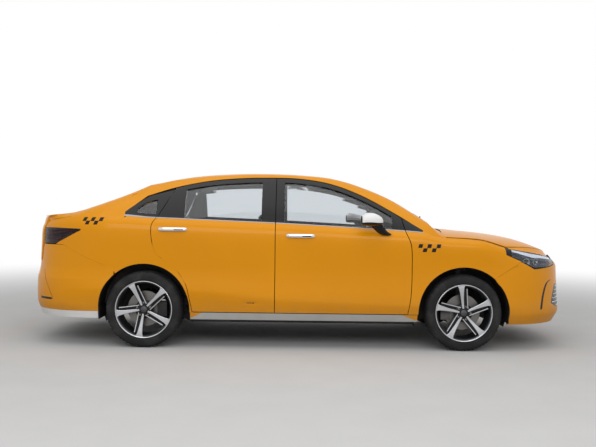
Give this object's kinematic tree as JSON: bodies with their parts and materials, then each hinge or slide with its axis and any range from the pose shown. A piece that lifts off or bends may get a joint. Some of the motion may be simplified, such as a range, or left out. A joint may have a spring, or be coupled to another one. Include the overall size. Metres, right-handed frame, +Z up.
{
  "type": "saloon taxi",
  "caption": "Saloon taxi with opening doors, bonnet and boot lid, steered front wheels and free-turning road wheels on a hollow cabin.",
  "frame": {"origin": "on the ground under the middle of the car", "axes": "+X to the nose, +Y to the left side, +Z up"},
  "size_m": [4.693, 2.1864, 1.4849],
  "materials": {
    "yellow_paint": "gloss",
    "white_trim": "gloss",
    "black_trim": "matt",
    "glass": "polished",
    "chrome": "polished",
    "lamp_clear": "polished",
    "lamp_red": "polished",
    "tyre": "matt",
    "alloy": "machined and black",
    "underbody": "satin",
    "steel": "satin",
    "casting": "rough",
    "seat_fabric": "woven"
  },
  "bodies": {
    "body": {"side_frames": "yellow_paint", "roof_panel": "yellow_paint", "fixed_glass": "glass", "front_wings": "yellow_paint", "front_bumper": "yellow_paint", "grille": "black_trim", "rear_bumper": "yellow_paint", "lower_trims": "white_trim", "head_lamps": "lamp_clear", "tail_lamps": "lamp_red", "cowl_panel": "black_trim", "arch_liners": "black_trim", "floor_pan": "underbody", "centre_posts": "black_trim", "hinge_brackets": "steel", "engine_block": "casting", "front_subframe": "underbody", "rear_axle": "underbody", "exhaust": "steel", "front_seats": "seat_fabric", "rear_bench": "seat_fabric", "dashboard": "black_trim"},
    "front_right_door": {"front_right_door": "yellow_paint", "front_right_glass": "glass", "front_right_handle": "chrome", "right_mirror": "white_trim"},
    "front_right_wheel": {"front_right_tyre": "tyre", "front_right_rim": "alloy"},
    "front_left_door": {"front_left_door": "yellow_paint", "front_left_glass": "glass", "front_left_handle": "chrome", "left_mirror": "white_trim"},
    "front_left_wheel": {"front_left_tyre": "tyre", "front_left_rim": "alloy"},
    "rear_right_door": {"rear_right_door": "yellow_paint", "rear_right_glass": "glass", "rear_right_handle": "chrome"},
    "rear_right_wheel": {"rear_right_tyre": "tyre", "rear_right_rim": "alloy"},
    "rear_left_door": {"rear_left_door": "yellow_paint", "rear_left_glass": "glass", "rear_left_handle": "chrome"},
    "rear_left_wheel": {"rear_left_tyre": "tyre", "rear_left_rim": "alloy"},
    "left_knuckle": {"left_knuckle": "casting"},
    "right_knuckle": {"right_knuckle": "casting"},
    "bonnet": {"bonnet": "yellow_paint"},
    "boot_lid": {"boot_lid": "yellow_paint"},
    "steering_wheel": {"steering_wheel": "black_trim"}
  },
  "joints": [
    {"name": "front_right_door_hinge", "type": "hinge", "parent": "body", "child": "front_right_door", "pos_m": [0.89468, -0.87378, 0.6], "axis": [0, 0, 1], "range_deg": [0, 65]},
    {"name": "rear_right_door_hinge", "type": "hinge", "parent": "body", "child": "rear_right_door", "pos_m": [-0.2458, -0.87497, 0.6], "axis": [0, 0, 1], "range_deg": [0, 65]},
    {"name": "front_left_door_hinge", "type": "hinge", "parent": "body", "child": "front_left_door", "pos_m": [0.89468, 0.87378, 0.6], "axis": [0, 0, -1], "range_deg": [0, 65]},
    {"name": "rear_left_door_hinge", "type": "hinge", "parent": "body", "child": "rear_left_door", "pos_m": [-0.2458, 0.87497, 0.6], "axis": [0, 0, -1], "range_deg": [0, 65]},
    {"name": "bonnet_hinge", "type": "hinge", "parent": "body", "child": "bonnet", "pos_m": [1.13152, 0, 0.984], "axis": [0, -1, 0], "range_deg": [0, 50]},
    {"name": "boot_lid_hinge", "type": "hinge", "parent": "body", "child": "boot_lid", "pos_m": [-1.8587, 0, 1.10799], "axis": [0, 1, 0], "range_deg": [0, 60]},
    {"name": "left_steer", "type": "hinge", "parent": "body", "child": "left_knuckle", "pos_m": [1.3825, 0.7, 0.2], "axis": [0, -0.2052, 0.9787], "range_deg": [-35, 35]},
    {"name": "front_left_wheel_spin", "type": "hinge", "parent": "left_knuckle", "child": "front_left_wheel", "pos_m": [1.3825, 0.78, 0.3185], "axis": [0, 1, 0], "continuous": true},
    {"name": "rear_left_wheel_spin", "type": "hinge", "parent": "body", "child": "rear_left_wheel", "pos_m": [-1.2875, 0.78, 0.3185], "axis": [0, 1, 0], "continuous": true},
    {"name": "right_steer", "type": "hinge", "parent": "body", "child": "right_knuckle", "pos_m": [1.3825, -0.7, 0.2], "axis": [0, 0.2052, 0.9787], "range_deg": [-35, 35]},
    {"name": "front_right_wheel_spin", "type": "hinge", "parent": "right_knuckle", "child": "front_right_wheel", "pos_m": [1.3825, -0.78, 0.3185], "axis": [0, 1, 0], "continuous": true},
    {"name": "rear_right_wheel_spin", "type": "hinge", "parent": "body", "child": "rear_right_wheel", "pos_m": [-1.2875, -0.78, 0.3185], "axis": [0, 1, 0], "continuous": true},
    {"name": "steering_wheel_turn", "type": "hinge", "parent": "body", "child": "steering_wheel", "pos_m": [0.54412, 0.37, 0.845], "axis": [-0.9135, 0, 0.4067], "range_deg": [-530, 530]}
  ],
  "couplings": [
    {"joint": "right_steer", "follows": "left_steer", "ratio": 1},
    {"joint": "steering_wheel_turn", "follows": "left_steer", "ratio": 15}
  ]
}
